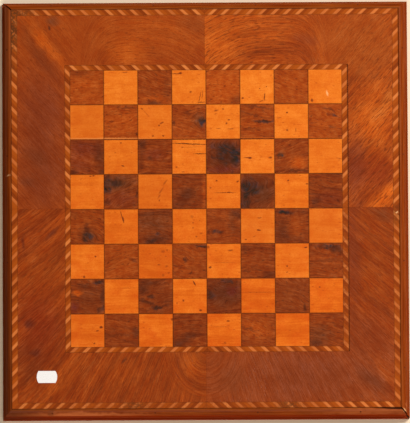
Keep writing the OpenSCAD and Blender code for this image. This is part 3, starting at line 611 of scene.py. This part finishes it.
# Each leaf's own tone, contrast and marks: second is the contrast of its second set of grain lines against
# that of the first, and calm is how faint the grain gets near the corner
borderLeaves = {
    "top_left": {
        "tone": 0, "contrast": 0.3, "second": 1, "strokes": 0.12, "hairs": 0.1,
        "calm": 0.4, "seed": 4, "marks": [
            ("flame", (-178, 188), (72, 11), -52, 0.5), ("smoke", (-187, 177), (56, 12), -52, 0.4),
            ("smoke", (-173, 204.7), (3.6, 3.6), 0, 1), ("halo", (-170, 212.5), (13, 8), 0, 0.6),
            ("flame", (-86, 176), (34, 22), 0, 0.4), ("halo", (-10, 210), (34, 22), -20, 0.3),
            ("flame", (-50, 204), (110, 46), 0, 0.15), ("smoke", (-196, 205), (20, 14), -40, 0.3),
            ("violet", (-184, 105), (52, 100), 0, 0.55), ("violet", (-182, 30), (50, 60), 0, 0.5),
            ("smoke", (-186, 50), (54, 110), 0, 0.14), ("smoke", (-188, 58), (26, 14), -30, 0.35),
            ("smoke", (-198, 30), (14, 10), 0, 0.4)],
    },
    "top_right": {
        "tone": 0.02, "contrast": 0.85, "second": 1, "strokes": 0.65, "hairs": 0.12,
        "calm": 0.65, "seed": 4.2, "marks": [
            ("flame", (12, 176), (46, 46), 0, 0.5), ("red", (112, 184), (36, 30), 0, 0.3),
            ("flame", (20, 204), (84, 44), 0, 0.22), ("flame", (186, 86), (40, 26), -30, 0.35),
            ("violet", (112, 190), (24, 10), -10, 0.3), ("flame", (130, 177), (8, 44), 4, 0.25),
            ("olive", (182, 185), (90, 84), 0, 0.7), ("flame", (184, 110), (34, 66), -40, 0.45),
            ("straw", (203, 120), (12, 46), -30, 0.35), ("red", (186, 40), (44, 34), 0, 0.7),
            ("flame", (203, 12), (40, 15), 45, 0.8), ("violet", (167, 40), (20, 80), 0, 0.5)],
    },
    "bottom_left": {
        "tone": -0.07, "contrast": 0.62, "second": 0.9, "strokes": 0.4, "hairs": 0.17,
        "calm": 0, "seed": 9, "marks": [
            ("flame", (-150, -186), (16, 50), -42, 0.12), ("red", (-186, -128), (46, 80), 0, 0.8),
            ("smoke", (-196, -172), (30, 44), 0, 0.36), ("flame", (-186, -60), (50, 80), 0, 0.12),
            ("flame", (-96, -186), (30, 40), -20, 0.12), ("spot", (-196, -129.7), (9, 9), 20, 0.75),
            ("spot", (-191, -162), (10, 7), 30, 0.65), ("red", (-190, -30), (44, 60), 0, 0.3),
            ("spot", (-203, -39), (3.4, 13), 0, 0.6), ("spot", (-171, -27), (14, 4), 42, 0.6),
            ("flame", (-168, -200), (26, 12), 50, 0.12), ("smoke", (-92, -170), (2.4, 9), -30, 0.8),
            ("flame", (-16, -176), (16, 20), 0, 0.3)],
    },
    "bottom_right": {
        "tone": -0.07, "contrast": 0.38, "second": 1.3, "strokes": 0.3, "hairs": 0.15,
        "calm": 0.2, "seed": 9.2, "marks": [
            ("smoke", (184, -194), (36, 15), -38, 0.7), ("flame", (201, -188), (9, 44), 36, 0.3),
            ("violet", (164, -57), (15, 130), 0, 0.4), ("violet", (118, -188), (86, 50), 0, 0.35),
            ("halo", (28, -194), (26, 30), 0, 0.3), ("violet", (186, -140), (46, 50), 0, 0.3),
            ("grey", (110, -190), (260, 70), 0, 0.4), ("halo", (196, -8), (24, 12), -20, 0.5)],
    },
}
# Where the grain lines run, in mm across and up from the board's middle
figureValues = {
    "topArch": (72, 104), "topBend": 0.025, "topFall": -0.9, "topSlant": (0.75, -0.66),
    "topCorner": (124, 154), "topSide": (168, 150),
    "fanReach": 145, "fanRise": -302, "fanFall": -0.74, "fanBend": 0.0006,
    "bottomArch": 156, "bottomSquash": 1.3, "bottomEdge": (70, 50, 0, 0.85),
}


def topGrain(tree, across, up, figure):  # flat arches beside the seam, slanting lines elsewhere
    beside = minus(tree, across, figure["topArch"][0])
    bent = times(tree, beside, times(tree, maths(tree, "ABSOLUTE", beside), figure["topBend"]))
    falling = times(tree, beside, figure["topFall"])  # towards the seam
    archX = maths(tree, "MAXIMUM", falling, bent)
    arches = distance(tree, archX, minus(tree, up, figure["topArch"][1]))
    slantAcross, slantUp = figure["topSlant"]
    slant = timesPlus(tree, up, slantUp, times(tree, across, slantAcross))
    corner, side = ease(tree, across, *figure["topCorner"]), ease(tree, up, *figure["topSide"])
    return arches, slant, maths(tree, "MAXIMUM", corner, side)


def bottomGrain(tree, across, up, figure):  # a fan of lines, with arches hanging round the seam
    bent = maths(tree, "EXPONENT", times(tree, across, -1 / figure["fanReach"]))
    falling = times(tree, up, timesPlus(tree, up, figure["fanBend"], figure["fanFall"]))
    fan = plus(tree, times(tree, bent, figure["fanRise"]), falling)
    archX, archY = times(tree, across, figure["bottomSquash"]), minus(tree, up, figure["bottomArch"])
    arches = distance(tree, archX, archY)
    return fan, arches, ease(tree, arches, *figure["bottomEdge"])


def grainLayer(tree, across, up, rings, seed, length, spacing, detail=2, roughness=0.5):
    # streaks along the two sets of grain lines, faded from the first to the second
    first, second, share = rings
    under = streaks(tree, across, up, first, seed, length, spacing, detail, roughness)
    over = streaks(tree, across, up, second, seed, length, spacing, detail, roughness)
    return timesPlus(tree, minus(tree, over, under), share, under)


def borderMaterial(name, look, leaf):
    material, tree = newMaterial("borderVeneer_" + name, veneerPolish)
    place, x, y = boardPlace(tree)[:3]
    seed, contrast = leaf["seed"], leaf["contrast"]
    across, up = maths(tree, "ABSOLUTE", x), maths(tree, "ABSOLUTE", y)
    grain = topGrain if name.startswith("top") else bottomGrain
    first, second, share = grain(tree, across, up, figureValues)
    wander = times(tree, noise(tree, vector(tree, across, up, seed), 0.02, 2), look["wander"])
    rings = plus(tree, first, wander), plus(tree, second, wander), share
    bands = grainLayer(tree, across, up, rings, seed, *look["bands"])
    lines = grainLayer(tree, across, up, rings, seed, *look["lines"], 2, 0.6)
    middle = 0.5 + leaf["tone"]
    tone = swing(tree, lines, look["lineContrast"] * contrast, middle)
    bandContrast = look["bandContrast"] * contrast
    bandContrast = timesPlus(tree, share, bandContrast * (leaf["second"] - 1), bandContrast)
    tone = swing(tree, bands, bandContrast, tone)
    calm = blot(tree, vector(tree, across, up), *look["calmPlace"], 0, look["calmSoft"])
    calm = timesPlus(tree, calm, -leaf["calm"], 1)
    tone = timesPlus(tree, minus(tree, tone, middle), calm, middle)
    stops = [(0.25, look["deep"]), (0.48, look["middle"]), (0.68, look["warm"]), (0.9, look["pale"])]
    colour = ramp(tree, tone, stops)
    colour = addMarks(tree, colour, place, leaf["marks"], look)
    colour = vary(tree, colour, noise(tree, place, *look["mottleNoise"]), look["mottle"])
    colour = vary(tree, colour, noise(tree, place, *look["speckleNoise"]), look["speckle"])
    hairs = grainLayer(tree, across, up, rings, seed, *look["hairs"], 2, 0.6)
    colour = vary(tree, colour, hairs, (1 - leaf["hairs"], 1 + leaf["hairs"]), 0.25)
    pores = grainLayer(tree, across, up, rings, seed + 6, *look["pores"], 0)
    colour = lay(tree, colour, look["pore"], ease(tree, pores, 0.58, 0.74), look["poreShare"])
    strokes = grainLayer(tree, across, up, rings, seed + 3, *look["strokes"], 1)
    strokes = times(tree, ease(tree, strokes, 0.54, 0.7), calm)
    colour = lay(tree, colour, look["stroke"], strokes, leaf["strokes"])
    return addSurface(material, colour, timesPlus(tree, strokes, -0.8, lines), look["relief"])


for name, leaf in borderLeaves.items():
    dress("border_leaf_" + name, borderMaterial(name, borderLook, leaf))
print("border matched")

# Edge moulding: darker polished hardwood, rubbed on its round, with a painted sheen along its inner arris
# and painted shade in its cove
mouldingLook = {
    "deep": (88, 32, 3), "middle": (124, 50, 7), "warm": (146, 68, 14),
    "cove": (132, 34, 0), "fillet": (136, 68, 28), "joint": (44, 18, 6), "rubbedSheen": (146, 76, 28),
    "lines": (60, 1.6),  # length and spacing, mm
    "lineContrast": 0.8, "rubbedSheenShare": 0.35,
    "blotches": (0.86, 1.14), "lineShade": (0.88, 1.12),  # darkest and lightest
    # heights in mm where the cove's painted shade and the fillet take over, and where the round may carry
    # rubbed marks with a painted sheen
    "coveFrom": (19, 11), "filletFrom": (7.4, 6.6), "rubSheenFrom": (13, 18),
    "rubbedSheenEdge": (3.2, 1.6), "jointEdge": (0.7, 0.2),  # mm from the veneer, where they start and are full
    "surface": {"Roughness": 0.42, "Specular IOR Level": 0, "Coat Weight": 0.1, "Coat Roughness": 0.3},
    "ragged": (2, 8), "soft": 0.9, "relief": 0.08,
}
# How light each side is, partly its own tone and partly painted light and shade, the left side darkest as
# it lies in shade; and how much its cove's painted shade and its fillet's colour show
mouldingSides = {
    "top": {"sideToneAndLight": 0.04, "filletShare": 0.75, "coveShare": 0.7, "marks": []},
    "bottom": {
        "sideToneAndLight": 0.07, "filletShare": 0.2, "coveShare": 0.85,
        "opens": {"from": 176, "dirtyTo": 190, "to": 214, "wider": 1.5},  # its joint, in mm
        # rub marks are rubbed patches with a painted sheen on the round; the shine is a painted highlight
        # at the open mitre
        "marks": [
            ("rub", (-140, -231.2), (112, 3.6), 0, 0.85), ("rub", (186, -229), (100, 6), 0, 0.45),
            ("smoke", (-171.5, -229), (7, 4.5), 0, 0.5), ("smoke", (-232, -229), (84, 12), 0, 0.85),
            ("violet", (-10, -228), (240, 3), 0, 0.3), ("shine", (219.5, -228.2), (5, 2.4), -45, 0.55),
            ("crack", (225, -234), (7, 6), 0, 0.7)],
    },
    "left": {
        "sideToneAndLight": -0.03, "filletShare": 0.5, "coveShare": 0.5,
        # lighter towards the top and darker towards the bottom, with a painted highlight (the shine)
        "marks": [
            ("rub", (-222, 220), (20, 200), 0, 0.3), ("smoke", (-222, -200), (20, 280), 0, 0.55),
            ("shine", (-218.6, 38.4), (3.6, 1.8), 10, 0.6)],
    },
    "right": {
        "sideToneAndLight": -0.02, "filletShare": 0.4, "coveShare": 0.4,
        # a rubbed patch with a painted sheen, and a painted highlight (the shine) at the mitre
        "marks": [
            ("rub", (224, -221), (3, 8), 0, 0.6), ("shine", (220.6, -227.4), (3.6, 1.6), -45, 0.55)],
    },
}


def mouldingMaterial(side, look, own, seed):
    material, tree = newMaterial("moulding_" + side, look["surface"])
    place, x, y, z = boardPlace(tree)
    low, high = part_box("moulding_" + side)
    run = 0 if side in ("top", "bottom") else 1  # the axis that the moulding lies along
    along, width = ((x, y), (y, x))[run]
    outer = max(abs(low[1 - run]), abs(high[1 - run])) / mm
    wide = (high - low)[1 - run] / mm
    inwards = minus(tree, outer, maths(tree, "ABSOLUTE", width))
    profile = timesPlus(tree, z, 0.8, inwards)
    lines = fibre(tree, along, profile, seed, *look["lines"], 3, 0.6)
    # each side's lightness is partly painted light and shade
    tone = swing(tree, lines, look["lineContrast"], 0.5 + own["sideToneAndLight"])
    colour = ramp(tree, tone, [(0.2, look["deep"]), (0.5, look["middle"]), (0.8, look["warm"])])
    blotches = noise(tree, vector(tree, times(tree, along, 0.04), inwards, seed), 1, 3)
    colour = vary(tree, colour, blotches, look["blotches"], how=shade)
    # a painted sheen along the inner arris, where the polish is also rubbed
    start, full = look["rubbedSheenEdge"]
    rubbedSheen = ease(tree, inwards, wide - start, wide - full)
    colour = lay(tree, colour, look["rubbedSheen"], rubbedSheen, look["rubbedSheenShare"] + own["sideToneAndLight"])
    # the cove gets a painted shade, darker and redder, and the fillet its own colour
    for part in ("cove", "fillet"):
        share = ease(tree, z, *look[part + "From"])
        colour = lay(tree, colour, look[part], share, own[part + "Share"])
    colour = vary(tree, colour, lines, look["lineShade"])
    # rub marks, rubbed patches with a painted sheen, lie only on the round
    onRound = {"rub": ease(tree, z, *look["rubSheenFrom"])}
    colour = addMarks(tree, colour, place, own["marks"], look, onRound, vector(tree, x, y, z))
    # the joint between the moulding and the veneer, dark where it is dirty or open
    grime = ease(tree, noise(tree, place, 0.09, 3), 0.35, 0.6, 0.5)
    opening = inwards
    if "opens" in own:
        opens = own["opens"]
        opening = timesPlus(tree, ease(tree, x, opens["from"], opens["to"]), opens["wider"], inwards)
        grime = maths(tree, "MAXIMUM", grime, ease(tree, x, opens["from"], opens["dirtyTo"]))
    start, full = look["jointEdge"]
    joint = times(tree, ease(tree, opening, wide - start, wide - full), grime)
    colour = lay(tree, colour, look["joint"], joint)
    return addSurface(material, colour, lines, look["relief"])


for seed, side in enumerate(sides):
    dress("moulding_" + side, mouldingMaterial(side, mouldingLook, mouldingSides[side], seed * 3.1))
print("moulding polished")

# The bare softwood ground and its tongues
groundLook = {
    "pale": (196, 150, 98), "middle": (172, 122, 74), "late": (136, 86, 48), "dirt": (150, 74, 32),
    "bands": (300, 5), "hairs": (30, 0.7),  # length and spacing, mm
    "hairContrast": 0.3, "wander": 40,
    "stain": (0.7, 1.06),  # darkest and lightest
    "dirtFrom": (21, 21.8),  # height in mm of the glue and dirt under the veneer
    "surface": {"Roughness": 0.75, "Specular IOR Level": 0.2},
    "relief": 0.2,
}
groundPieces = {  # its material, whether its grain runs along x, and its seed
    "ground_board_left": ("groundBoard_left", False, 0),
    "ground_board_middle": ("groundBoard_middle", False, 11),
    "ground_board_right": ("groundBoard_right", False, 22),
    "ground_clamp_top": ("groundClamp_top", True, 50),
    "ground_clamp_bottom": ("groundClamp_bottom", True, 63),
    "ground_spline_left": ("groundTongue_left", True, 90),
    "ground_spline_right": ("groundTongue_right", True, 91),
}


def groundMaterial(name, alongX, seed, look):
    material, tree = newMaterial(name, look["surface"])
    place, x, y, z = boardPlace(tree)
    along, across = (x, y) if alongX else (y, x)
    drawnOut = vector(tree, times(tree, along, 0.006), times(tree, across, 0.02), seed)
    rings = timesPlus(tree, noise(tree, drawnOut, 1, 1), look["wander"], across)
    rings = timesPlus(tree, z, 0.7, rings)
    bands = fibre(tree, along, rings, seed, *look["bands"], 1)
    hairs = fibre(tree, along, rings, seed, *look["hairs"])
    tone = swing(tree, hairs, look["hairContrast"], bands)
    colour = ramp(tree, tone, [(0.35, look["pale"]), (0.55, look["middle"]), (0.68, look["late"])])
    stain = noise(tree, place, 0.02, 4, 0.6)
    colour = vary(tree, colour, stain, look["stain"], how=shade)
    colour = lay(tree, colour, look["dirt"], ease(tree, z, *look["dirtFrom"]))
    return addSurface(material, colour, hairs, look["relief"])


for name, (materialName, alongX, seed) in groundPieces.items():
    dress(name, groundMaterial(materialName, alongX, seed, groundLook))

# The pins, the stopping over their heads, and the blank label
smallPieces = {
    "moulding_pins": ("pinSteel", (120, 116, 110), {"Roughness": 0.45, "Metallic": 1}),
    "pin_stopping": ("pinStopping", (92, 36, 12), {"Roughness": 0.5, "Specular IOR Level": 0.05}),
    "paper_label": ("labelPaper", (240, 246, 255), {"Roughness": 0.7}),
}


def plainMaterial(name, colour, surface):
    material, tree = newMaterial(name, surface)
    grain = noise(tree, boardPlace(tree)[0], 1.6, 3)
    return addSurface(material, vary(tree, paint(*colour), grain, (0.85, 1.1), how=shade))


for name, values in smallPieces.items():
    dress(name, plainMaterial(*values))
print("ground, pins and label finished")

# Pale floor under the board
floorValues = {"size": 8, "surface": {"Base Color": paint(236, 224, 204), "Roughness": 0.8}}
bpy.ops.object.select_all(action="DESELECT")
bpy.ops.mesh.primitive_plane_add(size=floorValues["size"], location=(0, 0, 0))
floor = bpy.context.active_object
floor.name = "floor"
floor.data.materials.append(newMaterial("paleFloor", floorValues["surface"])[0])

# A soft key light from the upper right, a fill from below the board's bottom edge, and a dim room
lamps = {
    "key": {"place": (2, 1.5, 1.9), "size": 1.3, "power": 122, "colour": (255, 245, 232)},
    "fill": {"place": (-0.3, -2.2, 1.7), "size": 2, "power": 50, "colour": (255, 236, 218)},
}
room = {"colour": (255, 240, 220), "strength": 0.12}


def addLamp(name, values):  # a square lamp that faces the board
    data = bpy.data.lights.new(name, "AREA")
    data.size = values["size"]
    data.energy = values["power"]
    data.color = paint(*values["colour"])[:3]
    lamp = bpy.data.objects.new(name, data)
    bpy.context.scene.collection.objects.link(lamp)
    lamp.location = values["place"]
    lamp.rotation_euler = (-Vector(values["place"])).to_track_quat("-Z", "Y").to_euler()


for name, values in lamps.items():
    addLamp(name, values)

world = bpy.data.worlds.new("room")
bpy.context.scene.world = world
world.use_nodes = True
roomShader = world.node_tree.nodes["Background"]
roomShader.inputs["Color"].default_value = paint(*room["colour"])
roomShader.inputs["Strength"].default_value = room["strength"]
bpy.context.scene.view_settings.view_transform = "Standard"
print("floor and lamps set")
